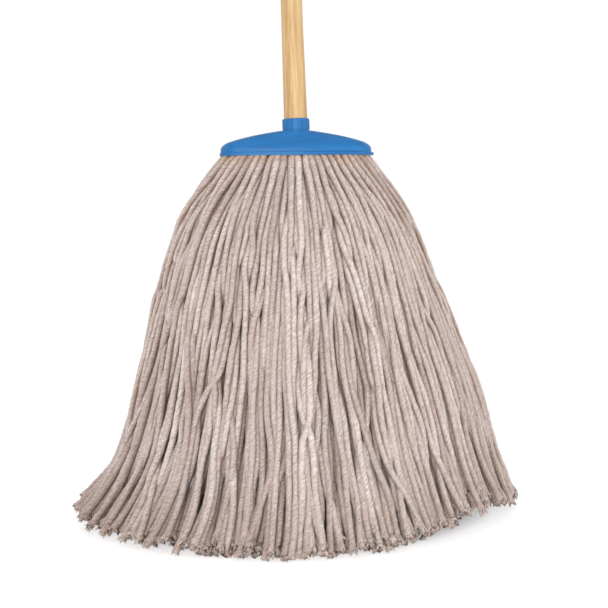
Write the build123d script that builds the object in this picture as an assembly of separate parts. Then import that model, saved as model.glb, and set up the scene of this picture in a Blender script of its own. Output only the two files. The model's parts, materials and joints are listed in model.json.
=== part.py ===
from build123d import *

import os
from math import cos, exp, radians, sin

# A cotton string mop with a moulded cap and a wooden pole, standing on its spread strings.
# Millimetres and degrees, +Z up. The origin is on the floor under the middle of the cap,
# X runs along the cap and -Y is the front.

# ---- cap ----
MOUTH_Z = 370.0  # the cap's open underside above the floor
CAP_LENGTH = 155.0
CAP_DEPTH = 50.0
CAP_WALL = 2.2
WALL_HEIGHT = 7.0
END_ROUNDNESS = 0.72  # end radius of the oval as a share of its half depth
BEAD_PROUD = 0.9
BEAD_HEIGHT = 3.6
BEAD_ROUND = 0.8
# The dome's sections from the wall up: height above the mouth, half length, half depth.
DOME = (
    (7.0, 77.5, 25.0),
    (9.4, 76.2, 24.0),
    (12.0, 73.2, 22.6),
    (14.7, 67.0, 21.0),
    (17.9, 56.0, 18.9),
    (21.6, 39.0, 17.0),
    (25.0, 19.0, 15.6),
)
DOME_BREAK = 3  # the section where the steep rim and the gentle top meet
TAB_SIZE = (2.2, 6.0, 3.0)  # moulded tab at the right end: long, wide, high
TAB_SUNK = 1.0  # how much of the tab's length is inside the bead

# ---- pole socket ----
LEAN = 1.5  # the pole and its socket lean this much towards -X
SOCKET_Z = 401.0  # where the socket's axis crosses the cap's middle plane
COLLAR_RADIUS = 14.0
COLLAR_TOP = 6.5  # collar's top and foot along the socket's axis from SOCKET_Z
COLLAR_FOOT = -4.0
COLLAR_ROUND = 1.2
NECK_RADIUS = 13.4  # the undercut between the collar and the dome
NECK_HEIGHT = 4.0
COLLAR_STEPS = 16  # grooves between the grip ribs; the front and back ones are left out
GROOVE_RADIUS = 0.7
GROOVE_LENGTH = 9.0
SOCKET_RADIUS = 13.8  # outside of the socket inside the cap
SOCKET_DEPTH = 28.0
SOCKET_FLOOR = 2.4
POLE_END_RADIUS = 12.0
SOCKET_CLEARANCE = 0.05

# ---- pole ----
POLE_LENGTH = 1200.0
POLE_CHAMFER = 1.0
POLE_RADIUS = 11.0
SWELL_START = 31.0  # from the pole's foot: the end is straight up to here
SWELL_END = 126.0  # and tapers to the plain radius up to here
POLE_TOP_ROUND = 8.0
HANG_HOLE_RADIUS = 4.0
HANG_HOLE_DROP = 28.0

# ---- yarn clamp inside the cap ----
PLATE_HALF_LENGTH = 58.0
PLATE_HALF_DEPTH = 9.5
PLATE_THICKNESS = 3.5
PLATE_UNDER = 2.6  # the plate's underside above the mouth
PLATE_EDGE = 1.2
SCREW_X = 36.0
SCREW_RADIUS = 1.7
SCREW_LENGTH = 14.0
SCREW_TIP = 0.9
SCREW_HEAD_RADIUS = 3.6
SCREW_HEAD_HEIGHT = 2.0
SCREW_HEAD_ROUND = 0.9
RECESS = (3.6, 0.8, 1.2)  # each arm of the cross: long, wide, deep
SCREW_CLEARANCE = 0.05
PLATE_HOLE_CLEARANCE = 0.3
PILOT_SPARE = 0.5  # the pilot hole runs this much past the screw's tip
BOSS_RADIUS = 4.0
YARN_GAP = 0.3

# ---- strings ----
YARN_HALF_LENGTH = 75.0  # outside of the yarn at the mouth
YARN_HALF_DEPTH = 22.5
SPREAD = 157.0  # how far outwards every string ends
LOCK_THICKNESS = 6.0
LAYER_GAP = 1.0
INNER_THICKNESS = 5.5
SIDE_GAP = 0.8
NECK_END_Z = 357.0  # above this the inner strings reach the outside
LOCK_FOOT_Z = 1.0
STATION_STEP = 15  # degrees between the facets' edges
LOCK_LEVELS = (0.062, 0.1, 0.16, 0.28, 0.45, 0.62, 0.78, 0.9, 0.96)
NECK_LEVELS = (0.0, 0.015, 0.035)
NECK_STEP = 0.4  # height over which the inner strings draw back under the locks
LOCKS = (
    "right",
    "back_right_end",
    "back_right",
    "back",
    "back_left",
    "back_left_end",
    "left",
    "front_left_end",
    "front_left",
    "front",
    "front_right",
    "front_right_end",
)
INNER_LOCKS = ("back_right", "back", "back_left", "front_left", "front", "front_right")

os.makedirs("parts", exist_ok=True)


def save(shape, name):
    """Writes one sub-part to parts/NAME.step."""
    shape.label = name
    export_step(shape, f"parts/{name}.step")


# ---- shapes that several parts share ----
def oval(half_length, half_depth):
    """A face with long flat arcs at the front and back and small arcs at the ends."""
    end = END_ROUNDNESS * half_depth
    reach = half_length - end
    flat = (reach**2 + half_depth**2 - end**2) / (2 * (half_depth - end))
    x = reach + end * reach / (flat - end)
    y = end * (flat - half_depth) / (flat - end)
    edges = [
        ThreePointArc((-x, -y), (0, -half_depth), (x, -y)),
        ThreePointArc((x, -y), (half_length, 0), (x, y)),
        ThreePointArc((x, y), (0, half_depth), (-x, y)),
        ThreePointArc((-x, y), (-half_length, 0), (-x, -y)),
    ]
    return make_face(edges)


def slab(half_length, half_depth, low, high):
    """An oval block between two heights above the mouth."""
    return extrude(Pos(0, 0, MOUTH_Z + low) * oval(half_length, half_depth), high - low)


def dome(inset):
    """The dome's outside, or its inside when inset is the wall's thickness."""
    sections = [
        Pos(0, 0, MOUTH_Z + z - inset) * oval(length - inset, depth - inset)
        for z, length, depth in DOME
    ]
    return loft(sections[: DOME_BREAK + 1]) + loft(sections[DOME_BREAK:])


def cap_block(inset):
    """The wall and dome as a filled block, or the room inside them."""
    half_length = CAP_LENGTH / 2 - inset
    half_depth = CAP_DEPTH / 2 - inset
    foot = -1.0 if inset else 0.0
    return slab(half_length, half_depth, foot, WALL_HEIGHT - inset) + dome(inset)


def axis_plane(along):
    """The plane across the pole's axis, along millimetres up it from SOCKET_Z."""
    up = Vector(-sin(radians(LEAN)), 0, cos(radians(LEAN)))
    return Plane(origin=Vector(0, 0, SOCKET_Z) + up * along, x_dir=(0, 1, 0), z_dir=up)


def rod(radius, low, high):
    """A cylinder on the pole's axis."""
    return extrude(axis_plane(low) * Circle(radius), high - low)


def post(x, radius, low, high):
    """An upright cylinder at (x, 0) between two heights above the mouth."""
    return extrude(Pos(x, 0, MOUTH_Z + low) * Circle(radius), high - low)


# ---- cap ----
BORE_FOOT = COLLAR_TOP - SOCKET_DEPTH


def collar():
    """The ribbed collar and the slightly narrower neck that runs down into the dome."""
    ring = rod(COLLAR_RADIUS, COLLAR_FOOT, COLLAR_TOP)
    ring = fillet(ring.edges().group_by(Axis.Z)[-1], COLLAR_ROUND)
    for step in range(COLLAR_STEPS):
        if step % (COLLAR_STEPS // 2) == 0:
            continue
        angle = radians(270 + 360 * step / COLLAR_STEPS)
        place = axis_plane(COLLAR_FOOT)
        spot = (COLLAR_RADIUS * sin(angle), COLLAR_RADIUS * cos(angle))
        ring -= extrude(place * Pos(*spot) * Circle(GROOVE_RADIUS), GROOVE_LENGTH)
    return ring + rod(NECK_RADIUS, COLLAR_FOOT - NECK_HEIGHT, COLLAR_FOOT)


def bosses():
    """Two posts under the dome that take the clamp screws."""
    top = PLATE_UNDER + PLATE_THICKNESS
    posts = post(-SCREW_X, BOSS_RADIUS, top, DOME[-1][0])
    return posts + post(SCREW_X, BOSS_RADIUS, top, DOME[-1][0])


def pilot_holes(radius):
    """The screws' holes through the plate and up into the bosses."""
    top = PLATE_UNDER + SCREW_LENGTH + PILOT_SPARE
    return post(-SCREW_X, radius, 0, top) + post(SCREW_X, radius, 0, top)


def cap_shell():
    block = cap_block(0)
    bead = slab(CAP_LENGTH / 2 + BEAD_PROUD, CAP_DEPTH / 2 + BEAD_PROUD, 0, BEAD_HEIGHT)
    bead = fillet(bead.edges().group_by(Axis.Z)[-1], BEAD_ROUND)
    long, wide, high = TAB_SIZE
    tab_x = CAP_LENGTH / 2 + BEAD_PROUD + long / 2 - TAB_SUNK
    tab = Pos(tab_x, 0, MOUTH_Z + high / 2) * Box(long, wide, high)
    socket = rod(SOCKET_RADIUS, BORE_FOOT - SOCKET_FLOOR, COLLAR_FOOT)
    shell = block + bead + tab + collar() - cap_block(CAP_WALL)
    shell += socket + (bosses() & block)
    shell -= rod(POLE_END_RADIUS + SOCKET_CLEARANCE, BORE_FOOT, COLLAR_TOP + 1)
    return shell - pilot_holes(SCREW_RADIUS + SCREW_CLEARANCE)


# ---- yarn clamp ----
def clamp_plate():
    top = PLATE_UNDER + PLATE_THICKNESS
    plate = slab(PLATE_HALF_LENGTH, PLATE_HALF_DEPTH, PLATE_UNDER, top)
    plate = fillet(plate.edges().filter_by(GeomType.CIRCLE), PLATE_EDGE)
    return plate - pilot_holes(SCREW_RADIUS + PLATE_HOLE_CLEARANCE)


def clamp_screws():
    """Two pan-head screws with a cross recess, driven up from below."""
    long, wide, deep = RECESS
    screws = []
    for x in (-SCREW_X, SCREW_X):
        shank = post(x, SCREW_RADIUS, PLATE_UNDER, PLATE_UNDER + SCREW_LENGTH)
        shank = chamfer(shank.edges().group_by(Axis.Z)[-1], SCREW_TIP)
        head = post(x, SCREW_HEAD_RADIUS, PLATE_UNDER - SCREW_HEAD_HEIGHT, PLATE_UNDER)
        head = fillet(head.edges().group_by(Axis.Z)[0], SCREW_HEAD_ROUND)
        foot = Pos(x, 0, MOUTH_Z + PLATE_UNDER - SCREW_HEAD_HEIGHT)
        head -= foot * Box(long, wide, 2 * deep)
        head -= foot * Box(wide, long, 2 * deep)
        screws.append(shank + head)
    return Compound(children=screws)


def yarn_heads(side):
    """The folded ends of the yarn, over the plate and round it: side is -1 at the front."""
    size = 2 * CAP_LENGTH
    room = cap_block(CAP_WALL + YARN_GAP)
    plate_top = PLATE_UNDER + PLATE_THICKNESS + YARN_GAP
    plate_room = slab(
        PLATE_HALF_LENGTH + YARN_GAP, PLATE_HALF_DEPTH + YARN_GAP, -1, plate_top
    )
    socket = rod(SOCKET_RADIUS + YARN_GAP, BORE_FOOT - SOCKET_FLOOR - YARN_GAP, COLLAR_TOP)
    posts = post(-SCREW_X, BOSS_RADIUS + YARN_GAP, 0, DOME[-1][0])
    posts += post(SCREW_X, BOSS_RADIUS + YARN_GAP, 0, DOME[-1][0])
    half = Pos(0, side * (size / 2 + YARN_GAP), MOUTH_Z + size / 2) * Box(size, size, size)
    return (room - plate_room - socket - posts) & half


# ---- pole ----
def handle_pole():
    """A turned pole: a straight end in the socket, a slow taper and a domed top."""
    foot = BORE_FOOT
    end = rod(POLE_END_RADIUS, foot, foot + SWELL_START)
    end = chamfer(end.edges().group_by(Axis.Z)[0], POLE_CHAMFER)
    taper = loft(
        [
            axis_plane(foot + SWELL_START) * Circle(POLE_END_RADIUS),
            axis_plane(foot + SWELL_END) * Circle(POLE_RADIUS),
        ]
    )
    stick = rod(POLE_RADIUS, foot + SWELL_END, foot + POLE_LENGTH)
    stick = fillet(stick.edges().group_by(Axis.Z)[-1], POLE_TOP_ROUND)
    pole = end + taper + stick
    hole_centre = axis_plane(foot + POLE_LENGTH - HANG_HOLE_DROP).origin
    across = Plane(origin=hole_centre, z_dir=(0, 1, 0))
    return pole - extrude(across * Circle(HANG_HOLE_RADIUS), 2 * POLE_RADIUS, both=True)


# ---- strings ----
def spread_at(t):
    """How far a string stands outwards: t is 0 at the mouth and 1 at the floor."""
    return SPREAD * (0.22 * (1 - exp(-t / 0.1)) + 0.55 * t + 0.23 * t**6)


def yarn_point(angle, depth, t, z, shift):
    """A point depth inside the yarn's outside, shifted sideways round the mop."""
    out = spread_at(t) - depth
    x = (YARN_HALF_LENGTH + out) * cos(angle) - shift * sin(angle)
    y = (YARN_HALF_DEPTH + out) * sin(angle) + shift * cos(angle)
    return Vector(x, y, z)


def yarn_block(start, sweep, rows):
    """A faceted sheet of yarn from start over sweep degrees.

    rows lists (t, outer depth, inner depth, height) from the top down.
    """
    count = sweep // STATION_STEP
    grid = []
    for i in range(count + 1):
        angle = radians(start + i * STATION_STEP)
        shift = SIDE_GAP / 2 * ((i == 0) - (i == count))
        grid.append(
            [
                [yarn_point(angle, depth, t, z, shift) for depth in (outer, inner)]
                for t, outer, inner, z in rows
            ]
        )
    faces = []

    def add(*corners):
        faces.append(Face(Wire.make_polygon(corners, close=True)))

    last = len(rows) - 1
    for i in range(count):
        here, there = grid[i], grid[i + 1]
        for side in (0, 1):
            for j in range(last):
                add(here[j][side], there[j][side], there[j + 1][side])
                add(here[j][side], there[j + 1][side], here[j + 1][side])
        add(here[0][0], there[0][0], there[0][1], here[0][1])
        add(here[last][0], there[last][0], there[last][1], here[last][1])
    for edge in (grid[0], grid[count]):
        for j in range(last):
            add(edge[j][0], edge[j + 1][0], edge[j + 1][1], edge[j][1])
    block = Solid(Shell(faces))
    return block if block.volume > 0 else -block


def lower_rows(outer, inner, foot):
    """Rows of a sheet from the locks' top down to foot."""
    rows = [(t, outer, inner, MOUTH_Z * (1 - t)) for t in LOCK_LEVELS]
    return rows + [(1.0, outer, inner, foot)]


def string_lock(number):
    """One lock of outer strings, which swings out from the cap's mouth."""
    sweep = 360 // len(LOCKS)
    rows = lower_rows(0, LOCK_THICKNESS, LOCK_FOOT_Z)
    return yarn_block(sweep * number - sweep // 2, sweep, rows)


def inner_strings(number):
    """One sheet of inner strings, which is as thick as the whole yarn at the mouth."""
    sweep = 360 // len(INNER_LOCKS)
    outer = LOCK_THICKNESS + LAYER_GAP
    inner = outer + INNER_THICKNESS
    rows = [(t, 0, inner, MOUTH_Z * (1 - t)) for t in NECK_LEVELS]
    step_t = NECK_LEVELS[-1] + NECK_STEP / MOUTH_Z
    rows.append((step_t, outer, inner, MOUTH_Z * (1 - step_t)))
    return yarn_block(sweep * number, sweep, rows + lower_rows(outer, inner, 0))


def hinge_point(number):
    """The middle of a lock's strings at the height where they bend."""
    angle = radians(360 / len(LOCKS) * number)
    t = 1 - NECK_END_Z / MOUTH_Z
    return yarn_point(angle, LOCK_THICKNESS / 2, t, NECK_END_Z, 0)


def main():
    save(cap_shell(), "cap_shell")
    save(clamp_plate(), "clamp_plate")
    save(clamp_screws(), "clamp_screws")
    save(yarn_heads(-1), "yarn_heads_front")
    save(yarn_heads(1), "yarn_heads_back")
    save(handle_pole(), "handle_pole")
    for number, name in enumerate(INNER_LOCKS):
        save(inner_strings(number), f"inner_strings_{name}")
    for number, name in enumerate(LOCKS):
        save(string_lock(number), f"string_lock_{name}")
        print(name, "hinge at", [round(v, 2) for v in hinge_point(number)])


main()
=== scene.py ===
import json
from math import pi, radians

import bpy
import numpy as np
from mathutils import Matrix, Vector

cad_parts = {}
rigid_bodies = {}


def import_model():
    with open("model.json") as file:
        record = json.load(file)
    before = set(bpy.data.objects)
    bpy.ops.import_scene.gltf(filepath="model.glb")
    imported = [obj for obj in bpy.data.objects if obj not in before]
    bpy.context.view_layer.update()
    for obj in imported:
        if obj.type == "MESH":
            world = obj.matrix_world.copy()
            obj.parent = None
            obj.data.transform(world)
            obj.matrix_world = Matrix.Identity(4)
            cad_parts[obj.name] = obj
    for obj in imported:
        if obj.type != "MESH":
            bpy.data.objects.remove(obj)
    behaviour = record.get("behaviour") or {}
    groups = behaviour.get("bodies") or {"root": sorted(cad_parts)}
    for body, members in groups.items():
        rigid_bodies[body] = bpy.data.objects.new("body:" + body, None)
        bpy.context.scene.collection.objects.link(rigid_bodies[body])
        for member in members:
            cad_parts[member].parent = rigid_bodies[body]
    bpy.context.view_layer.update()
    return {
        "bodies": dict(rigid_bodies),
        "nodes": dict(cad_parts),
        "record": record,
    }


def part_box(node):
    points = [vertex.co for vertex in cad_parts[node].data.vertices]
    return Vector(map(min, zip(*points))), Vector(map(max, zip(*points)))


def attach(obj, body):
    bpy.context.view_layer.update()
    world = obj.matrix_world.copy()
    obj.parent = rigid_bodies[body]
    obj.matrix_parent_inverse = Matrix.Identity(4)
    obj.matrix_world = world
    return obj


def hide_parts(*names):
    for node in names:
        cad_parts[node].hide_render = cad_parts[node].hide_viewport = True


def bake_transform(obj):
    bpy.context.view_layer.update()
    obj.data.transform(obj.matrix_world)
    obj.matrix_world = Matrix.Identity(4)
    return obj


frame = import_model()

# A cotton string mop that stands on its spread strings. Metres, +Z up, the front towards -Y.

# ---- sizes ----
MM = 0.001
LOCKS = [b for b in frame["bodies"] if b.startswith("lock_")]
HEAD_NODES = frame["record"]["behaviour"]["bodies"]["head"]
SHEETS = [n for n in HEAD_NODES if n.startswith("inner_strings_")]
MOUTH_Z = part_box("inner_strings_front")[1][2]
FOOT_HALF_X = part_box("string_lock_right")[1][0]
FOOT_HALF_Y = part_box("string_lock_back")[1][1]
SPREAD = 157 * MM  # how far outwards every string ends
MOUTH_HALF_X = FOOT_HALF_X - SPREAD
MOUTH_HALF_Y = FOOT_HALF_Y - SPREAD
STRING_LENGTH = 408 * MM  # from the mouth to the cut end
HIDDEN_LENGTH = 8 * MM  # up inside the cap

# ---- strings ----
YARN_RADIUS = 3.25 * MM
# Rows of strings in the cap's mouth: depth inside the yarn's outline, strings, share of full thickness.
MOUTH_ROWS = (
    (3.2 * MM, 50, 1.22),
    (8.2 * MM, 76, 0.75),
    (13.0 * MM, 92, 0.56),
    (16.0 * MM, 108, 0.40),
    (18.5 * MM, 108, 0.34),
    (20.5 * MM, 108, 0.28),
)
INNER_ROWS = 3  # the last rows make the inner strings, one layer each; the others are the outer layer
HIDDEN_SPACING = 0.5  # share of their spacing that the rows keep up inside the cap
LAYER_DEPTHS = np.array((3.6, 10.5, 17.0, 23.5)) * MM
FOOT_CROWDING = 0.5  # at the floor the layers lie closer together by this share
FOOT_CROWDING_FROM = 0.8
MOUTH_SQUARENESS = 0.76  # 1 would make the mouth's outline an ellipse, 0 a rectangle
OVAL_STEPS = 720
MOUTH_JITTER = 0.28  # strings are off their even places by up to these shares of their spacing
FOOT_JITTER = 0.25
THICKNESS = (0.94, 1.07)  # of single strings, as shares of the yarn's
FOOT_SWELL = 0.03  # a string is thicker at the foot by this share
FULL_FROM = 0.2  # where a string squeezed in the mouth has its full thickness again
LENGTH_SPREAD = (-0.014, 0.005)  # strings are off their length by up to these shares
STRAGGLE = 16 * MM  # a few strings end up to this much too early
STRAGGLE_RARITY = 6  # the greater, the fewer
INNER_SPARE = 0.3  # inner strings are longer by this share of their depth behind the outer ones
NODE_COUNT = 43
POINTS_PER_SPAN = 5
DECLARED_PER_LOCK = 3
SEED = 11

# ---- how far the strings stand outwards ----
# Places along a string are 0 at the mouth and 1 at the floor.
# Shares of SPREAD: a quick step out under the mouth, an even slope and a curve out at the foot.
STEP_OUT = 0.22
SLOPE_OUT = 0.55
CURVE_OUT = 0.23
STEP_PLACE = 0.11
STEP_SHARPNESS = 1.25
CURVE_SHARPNESS = 6
# Parts of the ring of feet: middle direction and half width, in radians.
RIGHT = (0.0, 1.0)
LEFT = (pi, 0.7)
FRONT_RIGHT = (-0.6, 0.5)
# How these parts differ, and the middle and half width of the stretch along the string.
BULGE = 23 * MM  # the right side stands out more below the middle
BULGE_AT = (0.68, 0.23)
SHOULDER = 4 * MM  # and less just under the cap
SHOULDER_AT = (0.1, 0.08)
FLARE = 8 * MM  # the left side runs out further at the foot
FLARE_SHARPNESS = 14
HOLLOW = 6 * MM  # and less a little above it
HOLLOW_AT = (0.84, 0.12)
DRAWN_IN = 9 * MM  # the front right is drawn in
CUT_SHORT = 24 * MM  # and its strings are shorter

# ---- how single strings wander ----
SIDE_WAVES = ((5, 6 * MM), (10, 3.4 * MM), (19, 1.6 * MM))  # knots along the string, reach
SIDE_GROWTH = 0.5  # the waves grow by this share towards the foot
SIDE_GROWTH_FROM = 2 / 7
SIDE_FROM = 1 / 8  # the strings lie straight in the mouth and wander fully from here on
DEPTH_KNOTS = 8
DEPTH_REACH = 2.6 * MM
DEPTH_GROWTH = 0.5
BUNCH_WAVES = ((23, 1.3, 0.55), (41, 0.4, 0.45))  # bunches round the mop, phase, share
BUNCH_REACH = 3 * MM
BUNCH_FROM = 1 / 6
CROSSING_REACH = 11 * MM  # the feet of crossing strings lie up to this far to one side
CROSSING_LIFT = 3 * MM  # and up to this far over their neighbours
CROSSING_FROM = 8 / 13
STRAY_SHARE = 0.14  # of the strings go off to one side
STRAY_FROM = (0.1, 0.75)
STRAY_SPAN = (0.2, 0.4)
STRAY_REACH = (8 * MM, 21 * MM)
STRAY_LIFT = 3.5 * MM
KINK_SHARE = 0.16  # of the strings have a short kink
KINK_MIDDLE = (0.12, 0.9)
KINK_WIDTH = (0.025, 0.05)
KINK_REACH = (3 * MM, 6.5 * MM)
OVAL_FROM = 1 / 3  # above this the strings still follow from their places in the mouth

# ---- pushing touching strings apart ----
NEAR_STRINGS = 40  # strings up to this far apart in the list may touch
SETTLE_STEPS = 160
SOFTNESS = 0.96  # touching strings may press into each other, down to this share of their radius
PUSH = 0.42
PUSH_UPWARDS = 0.3  # share of a push that may lift or lower a string
PULL_BACK = 0.035  # towards where the string would lie alone
STIFFNESS = 0.07
FLOOR_GAP = 1.03  # centre lines stay this share of their reach above the floor

# ---- yarn ----
PLIES = 4
POINTS_PER_PLY = 3
PLY_PITCH = 17 * MM
PITCH_SPREAD = (0.85, 1.2)
PLY_VALLEY = 0.966  # radius between two plies and on a ply, as shares of the yarn's
PLY_CREST = 1.008
LUMP = 0.06  # the yarn's thickness wanders by about this share
LUMP_STEP = 22 * MM
PLY_LUMP = 0.07  # and each ply's by this share
PLY_LUMP_STEP = 7 * MM
KNOT_SPREAD = 0.6  # standard deviation of the knots that make the yarn uneven
TINT = (0.5, 0.22)  # mean and standard deviation of the strings' tints
GROOVE_SHADE = 0.5  # how much painted shade, a darker colour, shows in the valleys between two plies
PAINTED_SHADE_SHIFT = 0.15  # painted shade: a surface that looks this far inwards gets all of it
PAINTED_SHADE_SPAN = 0.95  # and one that looks outwards by this much more gets none
INNER_SHADE = 0.55  # painted shade on the inner strings: 0 makes them as dark as a hidden side, 1 as light as the outer ones
FOOT_LIGHT = 0.45  # how much of the hidden sides' painted shade is gone at the foot
FOOT_LIGHT_FROM = 0.5
FRAY_LIGHT = 0.7  # and how much between the open plies
OPENING = 12 * MM  # the plies start to come apart this far from the cut end
OPENING_SWELL = 0.25  # and swell by this share
OPENING_GAP = 0.16  # with this much deeper valleys between them
RAGGED = (-2.6 * MM, 1.4 * MM)  # how far the plies end past the cut
FIBRE_SHIFT = 5.0  # the strings' flecks start in places up to this many metres apart
TUFTS = 9  # loose tufts at each cut end
TUFT_AROUND = 6
TUFT_SHAPE = np.array([0.46, 0.46, 0.4, 0.28, 0.1])  # a tuft's radius along it, as shares of the yarn's
TUFT_LENGTH = (2.5 * MM, 7 * MM)
TUFT_ROOT = 0.4  # a tuft starts this share of the radius off the centre
TUFT_LEAN = (0.3, 1.0)  # and its tip lies this much further off
TUFT_SHADE = 0.6  # painted shade: a tuft's hidden side is this light
TUFT_LOWEST = 1.2 * MM  # its middle stays this far above the floor
LOWEST = 0.3 * MM  # nothing lies lower than this above the floor

# ---- room and camera ----
ROOM_FLAT = 7.0  # radius of the floor's flat part
ROOM_RIM = 0.2  # a narrow flat ring keeps the flat part's shading even
ROOM_BEND = 3.0  # radius of its curve up into the wall
ROOM_BEND_STEPS = 16
ROOM_TOP = 9.0
ROOM_AROUND = 64
# the floor's painted light: how strongly it glows outside the mop
ROOM_PAINTED_GLOW = 0.62
GLOW_FROM = 0.6  # the painted glow grows between these shares of the way from the middle to the ring of feet, leaving painted shade under the mop
GLOW_TO = 0.88
WORLD_LIGHT = 0.4
CAMERA_PLACE = (-0.0984, -1.1974, 0.3265)
CAMERA_TURN = radians(-5.0)  # towards the right
CAMERA_DOWN = radians(5.2)
CAMERA_TILT = radians(-0.6)
CAMERA_LENS = 68.8


# ---- small node helpers ----
def new_material(name):
    """A material, its shader and functions that add a node and link a value to the shader."""
    material = bpy.data.materials.new(name)
    material.use_nodes = True
    tree = material.node_tree
    shader = tree.nodes["Principled BSDF"]

    def add(kind, inputs=(), **settings):
        node = tree.nodes.new(kind)
        for key, value in settings.items():
            setattr(node, key, value)
        for key, value in dict(inputs).items():
            if isinstance(value, bpy.types.NodeSocket):
                tree.links.new(value, node.inputs[key])
            else:
                node.inputs[key].default_value = value
        return node

    def link(value, key):
        tree.links.new(value, shader.inputs[key])

    return material, shader, add, link


def ramp(add, value, stops):
    """A colour ramp through (position, colour) stops."""
    node = add("ShaderNodeValToRGB", {"Fac": value})
    elements = node.color_ramp.elements
    while len(elements) < len(stops):
        elements.new(0.5)
    for element, (position, colour) in zip(elements, stops):
        element.position = position
        element.color = (*colour, 1)
    return node.outputs["Color"]


def noise(add, vector, scale, detail=3.0, roughness=0.55):
    inputs = {"Vector": vector, "Scale": scale, "Detail": detail, "Roughness": roughness}
    return add("ShaderNodeTexNoise", inputs).outputs["Fac"]


def mix(add, factor, a, b, blend="MIX"):
    """Mixes two colours; sockets 0, 6 and 7 of the node are its factor and its two colours."""
    node = add("ShaderNodeMix", data_type="RGBA", blend_type=blend)
    tree = node.id_data
    for index, value in ((0, factor), (6, a), (7, b)):
        if isinstance(value, bpy.types.NodeSocket):
            tree.links.new(value, node.inputs[index])
        else:
            node.inputs[index].default_value = value if index == 0 else (*value, 1)
    return node.outputs[2]


def stretched(add, source, scale):
    return add("ShaderNodeMapping", {"Vector": source, "Scale": scale}).outputs["Vector"]


def object_place(add):
    return add("ShaderNodeTexCoord").outputs["Object"]


def roughen(add, link, height, strength, distance):
    """Small relief from a height value."""
    bump = add("ShaderNodeBump", {"Height": height, "Strength": strength, "Distance": distance})
    link(bump.outputs["Normal"], "Normal")


def vary_roughness(add, link, value, least, most):
    rough = add("ShaderNodeMapRange", {"Value": value, "To Min": least, "To Max": most})
    link(rough.outputs["Result"], "Roughness")


# ---- materials ----
def yarn_colour(add, fibre, flecks):
    """Pinkish grey that differs from string to string, with flecks, specks and blotches."""
    tint = add("ShaderNodeAttribute", attribute_name="tint").outputs["Fac"]
    base = ramp(add, tint, [
        (0.0, (0.53, 0.443, 0.418)),
        (0.45, (0.63, 0.55, 0.525)),
        (1.0, (0.73, 0.66, 0.635)),
    ])
    fleck_shade = ramp(add, flecks, [(0.3, (0.66, 0.61, 0.58)), (0.62, (1.05, 1.05, 1.05))])
    colour = mix(add, 0.75, base, fleck_shade, "MULTIPLY")
    specks = noise(add, stretched(add, fibre, (1, 1, 0.7)), 650, 3.0, 0.75)
    speck_shade = ramp(add, specks, [
        (0.38, (0.6, 0.55, 0.5)),
        (0.5, (0.95, 0.95, 0.95)),
        (0.63, (1.2, 1.2, 1.2)),
    ])
    colour = mix(add, 0.9, colour, speck_shade, "MULTIPLY")
    blotches = noise(add, object_place(add), 14, 2.0)
    blotch_shade = ramp(add, blotches, [(0.35, (0.93, 0.90, 0.87)), (0.65, (1.0, 1.0, 1.0))])
    return mix(add, 0.8, colour, blotch_shade, "MULTIPLY")


def yarn_shade(add, colour):
    """Tan under the cap, a little darker towards the cut end, with painted shade between plies and painted
    brown shade where hidden.
    """
    run = add("ShaderNodeAttribute", attribute_name="run").outputs["Fac"]
    groove = add("ShaderNodeAttribute", attribute_name="groove").outputs["Fac"]
    facing = add("ShaderNodeAttribute", attribute_name="facing").outputs["Fac"]
    ends = ramp(add, run, [
        (0.0, (0.90, 0.76, 0.62)),
        (0.03, (0.96, 0.85, 0.73)),
        (0.055, (1, 1, 1)),
        (0.5, (1, 1, 1)),
        (0.85, (0.965, 0.96, 0.96)),
        (1.0, (0.80, 0.755, 0.72)),
    ])
    colour = mix(add, 1.0, colour, ends, "MULTIPLY")
    # painted shade in the valleys between plies
    colour = mix(add, groove, colour, mix(add, 1.0, colour, (0.90, 0.85, 0.81), "MULTIPLY"))
    # painted shade: sides that look inwards or at the neighbours turn brown
    return mix(add, facing, mix(add, 1.0, colour, (0.42, 0.275, 0.20), "MULTIPLY"), colour)


def yarn_material():
    """Undyed recycled cotton."""
    material, shader, add, link = new_material("cotton_yarn")
    fibre = add("ShaderNodeAttribute", attribute_name="fibre").outputs["Vector"]
    flecks = noise(add, stretched(add, fibre, (1, 1, 0.16)), 900)
    link(yarn_shade(add, yarn_colour(add, fibre, flecks)), "Base Color")
    fuzz = noise(add, stretched(add, fibre, (1, 1, 0.3)), 900, 3.0, 0.65)
    roughen(add, link, fuzz, 0.7, 0.8 * MM)
    vary_roughness(add, link, flecks, 0.82, 0.98)
    shader.inputs["Sheen Weight"].default_value = 0.25
    shader.inputs["Sheen Roughness"].default_value = 0.6
    shader.inputs["Specular IOR Level"].default_value = 0.15
    return material


def cap_material():
    """Blue moulded polypropylene with a soft shine and a fine mould grain."""
    material, shader, add, link = new_material("cap_plastic")
    place = object_place(add)
    flow = noise(add, stretched(add, place, (1, 3, 6)), 22, 3.0)
    colour = ramp(add, flow, [
        (0.3, (0.004, 0.107, 0.305)),
        (0.6, (0.006, 0.130, 0.356)),
        (0.8, (0.010, 0.155, 0.405)),
    ])
    link(colour, "Base Color")
    roughen(add, link, noise(add, place, 1400, 2.0), 0.12, 0.2 * MM)
    vary_roughness(add, link, flow, 0.36, 0.52)
    shader.inputs["Specular IOR Level"].default_value = 0.35
    return material


def plate_material():
    """The clamp plate: the same plastic, unpolished."""
    material, shader, add, link = new_material("clamp_plastic")
    grain = noise(add, object_place(add), 260, 4.0)
    link(ramp(add, grain, [(0.3, (0.02, 0.11, 0.32)), (0.7, (0.035, 0.17, 0.44))]), "Base Color")
    roughen(add, link, grain, 0.3, 0.3 * MM)
    shader.inputs["Roughness"].default_value = 0.6
    return material


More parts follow.
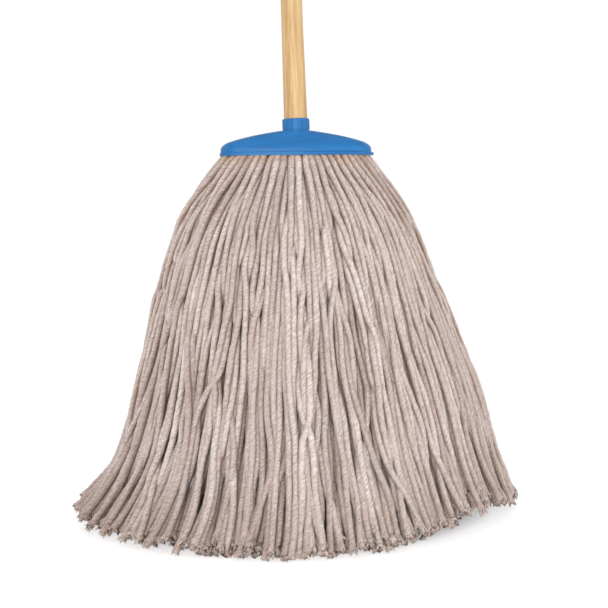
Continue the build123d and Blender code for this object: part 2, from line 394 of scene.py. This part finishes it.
def steel_material():
    """Zinc-plated screws with fine turning marks."""
    material, shader, add, link = new_material("screw_steel")
    marks = noise(add, stretched(add, object_place(add), (1, 1, 12)), 500, 3.0)
    link(ramp(add, marks, [(0.3, (0.45, 0.45, 0.44)), (0.7, (0.66, 0.66, 0.64))]), "Base Color")
    vary_roughness(add, link, marks, 0.25, 0.45)
    shader.inputs["Metallic"].default_value = 1.0
    return material


def wood_material():
    """Pale turned softwood, its grain running up the pole."""
    material, _, add, link = new_material("pole_wood")
    lean = radians(1.5)
    upright = add("ShaderNodeMapping", {"Vector": object_place(add), "Rotation": (0, lean, 0)}).outputs[0]
    rings = noise(add, stretched(add, upright, (1, 1, 0.035)), 210, 4.0, 0.6)
    fine = noise(add, stretched(add, upright, (1, 1, 0.02)), 1100, 3.0, 0.7)
    broad = noise(add, stretched(add, upright, (1, 1, 0.12)), 30, 2.0)
    colour = ramp(add, rings, [
        (0.32, (0.44, 0.26, 0.10)),
        (0.5, (0.57, 0.385, 0.185)),
        (0.7, (0.65, 0.48, 0.26)),
    ])
    streaks = ramp(add, fine, [(0.34, (0.68, 0.57, 0.44)), (0.56, (1, 1, 1))])
    colour = mix(add, 0.7, colour, streaks, "MULTIPLY")
    patches = ramp(add, broad, [(0.3, (0.9, 0.84, 0.75)), (0.7, (1, 1, 1))])
    link(mix(add, 0.5, colour, patches, "MULTIPLY"), "Base Color")
    roughen(add, link, fine, 0.25, 0.3 * MM)
    vary_roughness(add, link, rings, 0.45, 0.62)
    return material


# ---- where the strings lie ----
def spread_at(t):
    """How far a string stands outwards: t is 0 at the mouth and 1 at the floor."""
    step = 1 - np.exp(-((t / STEP_PLACE) ** STEP_SHARPNESS))
    return SPREAD * (STEP_OUT * step + SLOPE_OUT * t + CURVE_OUT * t**CURVE_SHARPNESS)


def smooth(x):
    """0 below 0, 1 above 1 and an even curve between."""
    x = np.clip(x, 0, 1)
    return x * x * (3 - 2 * x)


def rise(t, begin, end=1.0):
    """Rises from 0 at the begin to 1 at the end."""
    return smooth((t - begin) / (end - begin))


def hump(t, middle, width):
    """1 at the middle, falling to 0 on both sides of it."""
    return np.exp(-(((t - middle) / width) ** 2))


def near_angle(angle, middle, width):
    """1 for strings whose foot lies in the middle direction, falling to 0 to both sides."""
    return hump((angle - middle + pi) % (2 * pi) - pi, 0, width)


def wander(rng, count, knots):
    """One smooth random line from -1 to 1 for each string, starting at 0."""
    values = rng.uniform(-1, 1, (count, knots))
    values[:, 0] = 0
    at = np.linspace(0, knots - 1, NODE_COUNT)
    low = np.minimum(at.astype(int), knots - 2)
    share = smooth(at - low)
    return values[:, low] * (1 - share) + values[:, low + 1] * share


def along_oval(half_x, half_y, squareness, share):
    """Angle, x and y of the places that lie at these shares of the way round an oval."""
    angle = np.linspace(0, 2 * pi, OVAL_STEPS + 1)
    x = half_x * np.sign(np.cos(angle)) * np.abs(np.cos(angle)) ** squareness
    y = half_y * np.sign(np.sin(angle)) * np.abs(np.sin(angle)) ** squareness
    way = np.concatenate([[0], np.cumsum(np.hypot(np.diff(x), np.diff(y)))])
    way /= way[-1]
    share = share % 1
    return np.interp(share, way, angle), np.interp(share, way, x), np.interp(share, way, y)


def mouth_places(rng):
    """Row and share of the way round of every string, and its x and y at the mouth and up inside."""
    rows, shares, places = [], [], []
    outermost = MOUTH_ROWS[0][0]
    for row, (depth, count, _) in enumerate(MOUTH_ROWS):
        share = (np.arange(count) + 0.5 + rng.uniform(-MOUTH_JITTER, MOUTH_JITTER, count)) / count
        inside = outermost + (depth - outermost) * HIDDEN_SPACING
        ovals = [
            along_oval(MOUTH_HALF_X - d, MOUTH_HALF_Y - d, MOUTH_SQUARENESS, share)[1:]
            for d in (depth, inside)
        ]
        rows.append(np.full(count, row))
        shares.append(share)
        places.append(np.stack([*ovals[0], *ovals[1]], -1))
    return np.concatenate(rows), np.concatenate(shares), np.concatenate(places)


def foot_shares(rng, layer, share):
    """Each layer's strings nearly evenly round the mop's foot, in their order at the mouth."""
    feet = np.zeros(len(layer))
    for number in range(INNER_ROWS + 1):
        members = np.flatnonzero(layer == number)
        members = members[np.argsort(share[members])]
        even = (np.arange(len(members)) + 0.5) / len(members)
        feet[members] = even + rng.uniform(-FOOT_JITTER, FOOT_JITTER, len(members)) / len(members)
    return feet


def standing_out(foot, t):
    """How far each string stands outwards along its way."""
    right = near_angle(foot, *RIGHT)[:, None]
    left = near_angle(foot, *LEFT)[:, None]
    corner = near_angle(foot, *FRONT_RIGHT)[:, None]
    out = spread_at(t) + BULGE * right * hump(t, *BULGE_AT)
    out = out - SHOULDER * right * hump(t, *SHOULDER_AT)
    out = out + FLARE * left * t**FLARE_SHARPNESS
    out = out - HOLLOW * left * hump(t, *HOLLOW_AT)
    return out - DRAWN_IN * corner * t**2


def sideways(rng, outer, foot, t):
    """How far each string strays round the mop, and how far it lies over its neighbours."""
    count = len(foot)
    side = sum(wander(rng, count, knots) * reach for knots, reach in SIDE_WAVES)
    side *= 1 + SIDE_GROWTH * rise(t, SIDE_GROWTH_FROM)
    # Towards the floor the outer ones draw together in bunches, and some cross.
    bunch = sum(np.sin(foot * number + phase) * part for number, phase, part in BUNCH_WAVES)
    side += (bunch * outer * BUNCH_REACH)[:, None] * rise(t, BUNCH_FROM)
    lower = rise(t, CROSSING_FROM)
    crossing = rng.uniform(-1, 1, count) * outer
    side += (crossing * CROSSING_REACH)[:, None] * lower
    over = np.abs(crossing)[:, None] * CROSSING_LIFT * lower
    for i in np.flatnonzero(rng.uniform(0, 1, count) < STRAY_SHARE):
        begin = rng.uniform(*STRAY_FROM)
        reach = rng.uniform(*STRAY_REACH) * rng.choice((-1, 1))
        stray = smooth((t[0] - begin) / rng.uniform(*STRAY_SPAN))
        side[i] += reach * stray
        over[i] += STRAY_LIFT * stray
    for i in np.flatnonzero(rng.uniform(0, 1, count) < KINK_SHARE):
        middle = rng.uniform(*KINK_MIDDLE)
        width = rng.uniform(*KINK_WIDTH)
        side[i] += rng.choice((-1, 1)) * rng.uniform(*KINK_REACH) * hump(t[0], middle, width)
    return side * rise(t, 0, SIDE_FROM), over


def string_targets(place, foot, out, side, depth, t):
    """Where each string's nodes would lie if the strings didn't touch.

    They start from their places in the mouth and end in even layers behind an oval.
    """
    cos, sin = np.cos(foot)[:, None], np.sin(foot)[:, None]
    near = np.stack([place[:, :1] + out * cos, place[:, 1:2] + out * sin])
    far = np.stack([
        (MOUTH_HALF_X - depth + out) * cos - side * sin,
        (MOUTH_HALF_Y - depth + out) * sin + side * cos,
    ])
    lower = rise(t, 0, OVAL_FROM)
    flat = near * (1 - lower) + far * lower
    height = np.broadcast_to(MOUTH_Z * (1 - t), flat[0].shape)
    return np.stack([flat[0], flat[1], height], -1)


def string_lengths(rng, foot, layer):
    count = len(foot)
    length = STRING_LENGTH * (1 + rng.uniform(*LENGTH_SPREAD, count))
    length = length - CUT_SHORT * near_angle(foot, *FRONT_RIGHT)
    length += INNER_SPARE * (LAYER_DEPTHS[layer] - LAYER_DEPTHS[0])
    length -= STRAGGLE * rng.uniform(0, 1, count) ** STRAGGLE_RARITY
    return length


def string_radii(rng, row, t):
    """Each string's radius along its way: squeezed in the mouth and full below it."""
    squeezed = np.array([squeeze for _, _, squeeze in MOUTH_ROWS])[row][:, None]
    full = rng.uniform(*THICKNESS, (len(row), 1)) * (1 + FOOT_SWELL * t)
    return YARN_RADIUS * (squeezed + (full - squeezed) * rise(t, 0, FULL_FROM))


def settle(points, targets, reach, segment):
    """Pushes touching strings apart, keeps their lengths and their feet on the floor.

    points and targets are (strings, nodes, 3), in the order of their feet round the mop,
    so that only strings near each other in the list can touch. reach is each node's radius.
    """
    for _ in range(SETTLE_STEPS):
        move = np.zeros_like(points)
        for k in range(1, NEAR_STRINGS + 1):
            gap = points - np.roll(points, -k, axis=0)
            distance = np.sqrt((gap**2).sum(-1)) + 1e-7
            push = np.clip(reach + np.roll(reach, -k, axis=0) - distance, 0, None) / distance
            step = gap * (push * PUSH)[..., None]
            move += step - np.roll(step, k, axis=0)
        move[..., 2] *= PUSH_UPWARDS
        points[:, 1:] += move[:, 1:]
        points += (targets - points) * PULL_BACK
        bend = points[:, :-2] + points[:, 2:] - 2 * points[:, 1:-1]
        points[:, 1:-1] += bend * STIFFNESS
        points[:, 0] = targets[:, 0]
        for j in range(1, points.shape[1]):
            step = points[:, j] - points[:, j - 1]
            length = np.linalg.norm(step, axis=-1, keepdims=True)
            points[:, j] = points[:, j - 1] + step * (segment[:, None] / length)
        points[..., 2] = np.maximum(points[..., 2], reach * FLOOR_GAP)
    return points


def lay_strings():
    """Every string's centre line, whether it is an inner one, its lock or sheet, and its radius."""
    rng = np.random.default_rng(SEED)
    row, share, place = mouth_places(rng)
    layer = np.maximum(row - len(MOUTH_ROWS) + INNER_ROWS + 1, 0)
    foot_share = foot_shares(rng, layer, share)
    order = np.argsort(foot_share)
    row, place, layer, foot_share = (values[order] for values in (row, place, layer, foot_share))
    inner = layer > 0
    foot = along_oval(FOOT_HALF_X, FOOT_HALF_Y, 1, foot_share)[0]
    # Each lock is centred on a whole share of the circle, each sheet halfway between two.
    home = np.where(inner, foot * len(SHEETS) / (2 * pi), foot * len(LOCKS) / (2 * pi) + 0.5)
    home = home.astype(int) % np.where(inner, len(SHEETS), len(LOCKS))

    t = np.linspace(0, 1, NODE_COUNT)[None]
    side, over = sideways(rng, ~inner, foot, t)
    depth = LAYER_DEPTHS[layer][:, None] * (1 - FOOT_CROWDING * rise(t, FOOT_CROWDING_FROM))
    depth = depth + wander(rng, len(row), DEPTH_KNOTS) * DEPTH_REACH * (1 + DEPTH_GROWTH * t) - over
    targets = string_targets(place, foot, standing_out(foot, t), side, depth, t)
    length = string_lengths(rng, foot, layer)
    radius = string_radii(rng, row, t)
    points = settle(targets.copy(), targets, radius * SOFTNESS, length / (NODE_COUNT - 1))
    top = np.full((len(row), 1, 1), MOUTH_Z + HIDDEN_LENGTH)
    top = np.concatenate([place[:, None, 2:], top], -1)
    points = np.concatenate([top, points], 1)
    radius = np.concatenate([radius[:, :1], radius], 1)
    return points, inner, home, radius, rng


# ---- string meshes ----
def routes_from(nodes):
    """Points read along the smooth spline that each string's nodes control."""
    curve = bpy.data.curves.new("string_routes", "CURVE")
    curve.dimensions = "3D"
    curve.resolution_u = POINTS_PER_SPAN
    for line in nodes:
        spline = curve.splines.new("NURBS")
        spline.points.add(len(line) - 1)
        spline.points.foreach_set("co", np.insert(line, 3, 1, axis=1).ravel())
        spline.order_u = 3
        spline.use_endpoint_u = True
    holder = bpy.data.objects.new("string_routes", curve)
    mesh = bpy.data.meshes.new_from_object(holder)
    places = np.empty(len(mesh.vertices) * 3)
    mesh.vertices.foreach_get("co", places)
    bpy.data.objects.remove(holder)
    bpy.data.meshes.remove(mesh)
    bpy.data.curves.remove(curve)
    return places.reshape(len(nodes), -1, 3)


def frames_along(line):
    """Unit tangent and two unit normals that don't twist, at each point of each line."""
    no_strings_way = (0.31, 0.95, 0.05)  # no string starts along this direction
    tangent = np.gradient(line, axis=1)
    tangent /= np.linalg.norm(tangent, axis=-1, keepdims=True)
    first = np.empty_like(line)
    normal = np.cross(tangent[:, 0], no_strings_way)
    for j in range(line.shape[1]):
        normal = normal - tangent[:, j] * (normal * tangent[:, j]).sum(-1, keepdims=True)
        normal /= np.linalg.norm(normal, axis=-1, keepdims=True)
        first[:, j] = normal
    return tangent, first, np.cross(tangent, first)


def tube(line, first, second, radius, angles, shape):
    """Rings of points round a line: angles and shape are (rings, points)."""
    across = first[:, None] * np.cos(angles)[..., None] + second[:, None] * np.sin(angles)[..., None]
    return line[:, None] + across * (radius[:, None] * shape)[..., None]


def tube_faces(rings, around, start):
    """Quads between rings, and one polygon at each end."""
    j, k = np.meshgrid(np.arange(rings - 1), np.arange(around), indexing="ij")
    here, after = j * around + k, j * around + (k + 1) % around
    quads = np.stack([here, after, after + around, here + around], -1).reshape(-1, 4) + start
    caps = [
        list(start + np.arange(around)[::-1]),
        list(start + (rings - 1) * around + np.arange(around)),
    ]
    return quads, caps


def add_mesh(name, points, faces, material):
    """A smooth mesh object in the scene."""
    mesh = bpy.data.meshes.new(name)
    mesh.from_pydata(points, [], faces)
    mesh.shade_smooth()
    mesh.materials.append(material)
    piece = bpy.data.objects.new(name, mesh)
    bpy.context.scene.collection.objects.link(piece)
    return piece


class Yarn:
    """Collects tubes of yarn and turns them into one mesh with the material's attributes."""

    def __init__(self):
        self.points, self.quads, self.caps, self.fibre = [], [], [], []
        self.values = {"tint": [], "run": [], "groove": [], "facing": []}
        self.count = 0

    def add(self, rings, local, **values):
        """Adds rings of points. local is each point's place in the yarn's own space."""
        number, around = rings.shape[:2]
        quads, caps = tube_faces(number, around, self.count)
        self.points.append(rings.reshape(-1, 3))
        self.fibre.append(local.reshape(-1, 3))
        self.quads.append(quads)
        self.caps += caps
        for key, value in values.items():
            self.values[key].append(np.broadcast_to(value, (number, around)).reshape(-1))
        self.count += number * around

    def build(self, name, material):
        faces = np.concatenate(self.quads).tolist() + self.caps
        piece = add_mesh(name, np.concatenate(self.points).tolist(), faces, material)
        for key, values in self.values.items():
            layer = piece.data.attributes.new(key, "FLOAT", "POINT")
            layer.data.foreach_set("value", np.concatenate(values).astype(np.float32))
        layer = piece.data.attributes.new("fibre", "FLOAT_VECTOR", "POINT")
        layer.data.foreach_set("vector", np.concatenate(self.fibre).astype(np.float32).ravel())
        return piece


def uneven(rng, along, step):
    """A random line around 0 with a knot every step metres."""
    knots = np.arange(0, along[-1] + 2 * step, step)
    return np.interp(along, knots, rng.normal(0, KNOT_SPREAD, len(knots)))


def painted_light_mask(points, line):
    """1 where a yarn's surface looks out of the mop, 0 where it looks at its neighbours or inwards: the
    mask of the painted shade.
    """
    across = points - line[:, None]
    across /= np.linalg.norm(across, axis=-1, keepdims=True) + 1e-9
    outward = line * (FOOT_HALF_X**-2, FOOT_HALF_Y**-2, 0)
    outward /= np.linalg.norm(outward, axis=-1, keepdims=True) + 1e-9
    return smooth(((across * outward[:, None]).sum(-1) + PAINTED_SHADE_SHIFT) / PAINTED_SHADE_SPAN)


def ply_shape(rng, along, valley, fray):
    """The twisted yarn's radius as a share of a plain tube's: lumpy plies that open at the cut end."""
    plies = np.stack([uneven(rng, along, PLY_LUMP_STEP) for _ in range(PLIES)], -1)
    plies = np.repeat(plies, POINTS_PER_PLY, 1)
    lumps = 1 + LUMP * uneven(rng, along, LUMP_STEP)[:, None] + PLY_LUMP * plies
    shape = np.where(valley, PLY_VALLEY, PLY_CREST) * lumps
    return shape * (1 + OPENING_SWELL * fray**2) - np.where(valley, OPENING_GAP, 0) * fray


def add_string(yarn, line, normals, radius, rng, shade=1):
    """One twisted string with its frayed end, added to a yarn mesh. Returns its length."""
    tangent, first, second = normals
    along = np.concatenate([[0], np.cumsum(np.linalg.norm(np.diff(line, axis=0), axis=1))])
    run = (along / along[-1])[:, None]
    around = PLIES * POINTS_PER_PLY
    slot_angle = np.arange(around) / around * 2 * pi
    phase = rng.uniform(0, 2 * pi)
    pitch = PLY_PITCH * rng.uniform(*PITCH_SPREAD)
    angles = slot_angle[None] + (along / pitch * 2 * pi + phase)[:, None]
    valley = (np.arange(around) % POINTS_PER_PLY == 0)[None]
    fray = smooth((along - along[-1] + OPENING) / OPENING)[:, None]
    points = tube(line, first, second, radius, angles, ply_shape(rng, along, valley, fray))
    ragged = rng.uniform(*RAGGED, around)[None] * (fray**3)
    points += tangent[:, None] * ragged[..., None]
    points[..., 2] = np.maximum(points[..., 2], LOWEST)
    offset = rng.uniform(0, FIBRE_SHIFT, 3)
    local = np.stack(np.broadcast_arrays(
        np.cos(slot_angle) * YARN_RADIUS,
        np.sin(slot_angle) * YARN_RADIUS,
        along[:, None],
    ), -1) + offset
    tint = float(np.clip(rng.normal(*TINT), 0, 1))
    # Painted shade on the sides that look inwards or at the neighbours, lifted at the foot and the frayed
    # end.
    facing = shade * (1 - (1 - painted_light_mask(points, line)) * (1 - FRAY_LIGHT * fray))
    facing = 1 - (1 - facing) * (1 - FOOT_LIGHT * rise(run, FOOT_LIGHT_FROM))
    # painted shade in the valleys between plies
    groove = np.where(valley, GROOVE_SHADE, 0.0)
    yarn.add(points, local, tint=tint, run=run, groove=groove, facing=facing)
    add_fray(yarn, line[-2], [n[-1] for n in normals], radius[-1], rng, tint, offset)
    return along[-1]


def add_fray(yarn, base, normals, radius, rng, tint, offset):
    """The plies coming apart at the cut end, as short thin tufts."""
    way, first, second = normals
    count = len(TUFT_SHAPE)
    steps = np.linspace(0, 1, count)[:, None]
    angles = np.broadcast_to(np.arange(TUFT_AROUND) / TUFT_AROUND * 2 * pi, (count, TUFT_AROUND))
    for number in range(TUFTS):
        turn = rng.uniform(0, 2 * pi)
        outwards = first * np.cos(turn) + second * np.sin(turn)
        length = rng.uniform(*TUFT_LENGTH)
        away = outwards * radius * (TUFT_ROOT + rng.uniform(*TUFT_LEAN) * steps)
        centre = base + away + way * length * steps
        centre[:, 2] = np.maximum(centre[:, 2], TUFT_LOWEST)
        points = tube(centre, first[None], second[None], radius * TUFT_SHAPE, angles, 1.0)
        points[..., 2] = np.maximum(points[..., 2], LOWEST)
        local = np.zeros((count, TUFT_AROUND, 3)) + offset + number
        local[..., 2] += steps * length
        # painted shade on the tufts' sides that look inwards
        facing = TUFT_SHADE + (1 - TUFT_SHADE) * painted_light_mask(points, centre)
        yarn.add(points, local, tint=tint, run=1.0, groove=0.0, facing=facing)


def every_second(values):
    """Every second ring, with the cut end's among them."""
    return values[::-2][::-1]


def blend_from_cap(piece):
    """Bakes the strings' placement into their mesh."""
    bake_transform(piece)


def make_sheet(sheet, strings, rng, material):
    """The inner strings of one sheet, which stay where they are."""
    yarn = Yarn()
    for line, normals, radius in strings:
        fewer = [every_second(n) for n in normals]
        # the inner strings get painted shade, darker than the outer ones
        add_string(yarn, every_second(line), fewer, every_second(radius), rng, INNER_SHADE)
    piece = yarn.build(f"strings_{sheet}", material)
    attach(piece, "head")
    heads = sheet.replace("inner_strings", "yarn_heads")
    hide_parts(sheet, *([heads] if heads in frame["nodes"] else []))


def make_lock(body, strings, rng, material):
    """The strings of one lock: its outermost ones as single pieces, the others as one mesh."""
    name = body.removeprefix("lock_")
    yarn = Yarn()
    for rank, (line, normals, radius) in enumerate(strings):
        if rank >= DECLARED_PER_LOCK:
            add_string(yarn, line, normals, radius, rng)
            continue
        single = Yarn()
        length = add_string(single, line, normals, radius, rng)
        piece = single.build(f"string_{name}_{rank + 1}", material)
        blend_from_cap(piece)
    piece = yarn.build(f"strings_{name}", material)
    blend_from_cap(piece)
    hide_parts(f"string_{body}")


def make_strings(material):
    """Every string of the mop, sheet by sheet and lock by lock."""
    nodes, inner, home, radius, rng = lay_strings()
    lines = routes_from(nodes)
    at = np.linspace(0, nodes.shape[1] - 1, lines.shape[1])
    radii = np.array([np.interp(at, np.arange(nodes.shape[1]), r) for r in radius])
    normals = frames_along(lines)
    outwards = np.hypot(lines[..., 0] / FOOT_HALF_X, lines[..., 1] / FOOT_HALF_Y).mean(1)

    def strings(members):
        return [(lines[i], [n[i] for n in normals], radii[i]) for i in members]

    for number, sheet in enumerate(SHEETS):
        make_sheet(sheet, strings(np.flatnonzero(inner & (home == number))), rng, material)
    for number, body in enumerate(LOCKS):
        members = np.flatnonzero(~inner & (home == number))
        members = members[np.argsort(-outwards[members])]
        make_lock(body, strings(members), rng, material)


# ---- room ----
def room_material():
    """A matt white floor that glows a little with painted light, like a lit studio's, fading to painted
    shade in the mop's own shade.
    """
    material, shader, add, link = new_material("studio_floor")
    place = object_place(add)
    speckle = noise(add, place, 3, 2.0)
    link(ramp(add, speckle, [(0.3, (0.49, 0.49, 0.49)), (0.7, (0.52, 0.52, 0.52))]), "Base Color")
    shader.inputs["Roughness"].default_value = 0.9
    shader.inputs["Specular IOR Level"].default_value = 0.1
    shader.inputs["Emission Color"].default_value = (1, 1, 1, 1)
    scale = (1 / FOOT_HALF_X, 1 / FOOT_HALF_Y, 0)
    away = add("ShaderNodeVectorMath", {0: stretched(add, place, scale)}, operation="LENGTH")
    away = away.outputs["Value"]
    spans = {"Value": away, "From Min": GLOW_FROM, "From Max": GLOW_TO, "To Max": ROOM_PAINTED_GLOW}
    painted_glow = add("ShaderNodeMapRange", spans)
    link(painted_glow.outputs["Result"], "Emission Strength")
    return material


def make_room():
    """A seamless pale floor that curves up all round, like a wide bowl."""
    profile = [(ROOM_FLAT - ROOM_RIM, 0.0), (ROOM_FLAT, 0.0)]
    for a in np.linspace(0, pi / 2, ROOM_BEND_STEPS + 1)[1:]:
        profile.append((ROOM_FLAT + ROOM_BEND * np.sin(a), ROOM_BEND - ROOM_BEND * np.cos(a)))
    profile.append((ROOM_FLAT + ROOM_BEND, ROOM_TOP))
    turn = np.arange(ROOM_AROUND) / ROOM_AROUND * 2 * pi
    points = [(r * np.cos(a), r * np.sin(a), z) for r, z in profile for a in turn]
    quads, caps = tube_faces(len(profile), ROOM_AROUND, 0)
    faces = [face[::-1] for face in quads.tolist()] + [caps[0][::-1]]
    add_mesh("floor", points, faces, room_material())


def add_light(name, place, aim, size, watts):
    """A square lamp that looks from its place towards its aim."""
    light = bpy.data.lights.new(name, "AREA")
    light.size = size
    light.energy = watts
    lamp = bpy.data.objects.new(name, light)
    bpy.context.scene.collection.objects.link(lamp)
    lamp.location = place
    lamp.rotation_euler = (Vector(aim) - Vector(place)).to_track_quat("-Z", "Y").to_euler()


def make_lights():
    """Soft light from the front, the right and above, and plain colours."""
    world = bpy.data.worlds.new("studio")
    world.use_nodes = True
    world.node_tree.nodes["Background"].inputs["Color"].default_value = (1, 1, 1, 1)
    world.node_tree.nodes["Background"].inputs["Strength"].default_value = WORLD_LIGHT
    bpy.context.scene.world = world
    add_light("key", place=(-0.5, -2.8, 1.15), aim=(0, 0, 0.2), size=0.9, watts=40)
    add_light("fill", place=(2.2, -1.6, 0.9), aim=(0, 0, 0.2), size=1.8, watts=12)
    add_light("top", place=(0, -0.2, 3.4), aim=(0, 0, 0), size=3.0, watts=20)
    view = bpy.context.scene.view_settings
    view.view_transform = "Standard"
    view.look = "None"


def make_camera():
    """In front of the mop and a little to its left, just under the cap's height, looking slightly down."""
    data = bpy.data.cameras.new("camera")
    data.sensor_width = 36
    data.lens = CAMERA_LENS
    camera = bpy.data.objects.new("camera", data)
    turn = Matrix.Rotation(CAMERA_TURN, 4, "Z") @ Matrix.Rotation(pi / 2 - CAMERA_DOWN, 4, "X")
    tilt = Matrix.Rotation(CAMERA_TILT, 4, "Z")
    camera.matrix_world = Matrix.Translation(CAMERA_PLACE) @ turn @ tilt
    bpy.context.scene.collection.objects.link(camera)
    bpy.context.scene.camera = camera


def dress_cad():
    """Materials for the CAD nodes that stay in view."""
    looks = {
        "cap_shell": cap_material(),
        "clamp_plate": plate_material(),
        "clamp_screws": steel_material(),
        "handle_pole": wood_material(),
    }
    for name, material in looks.items():
        for slot in frame["nodes"][name].material_slots:
            slot.link = "OBJECT"
            slot.material = material


make_camera()
dress_cad()
make_strings(yarn_material())
make_room()
make_lights()
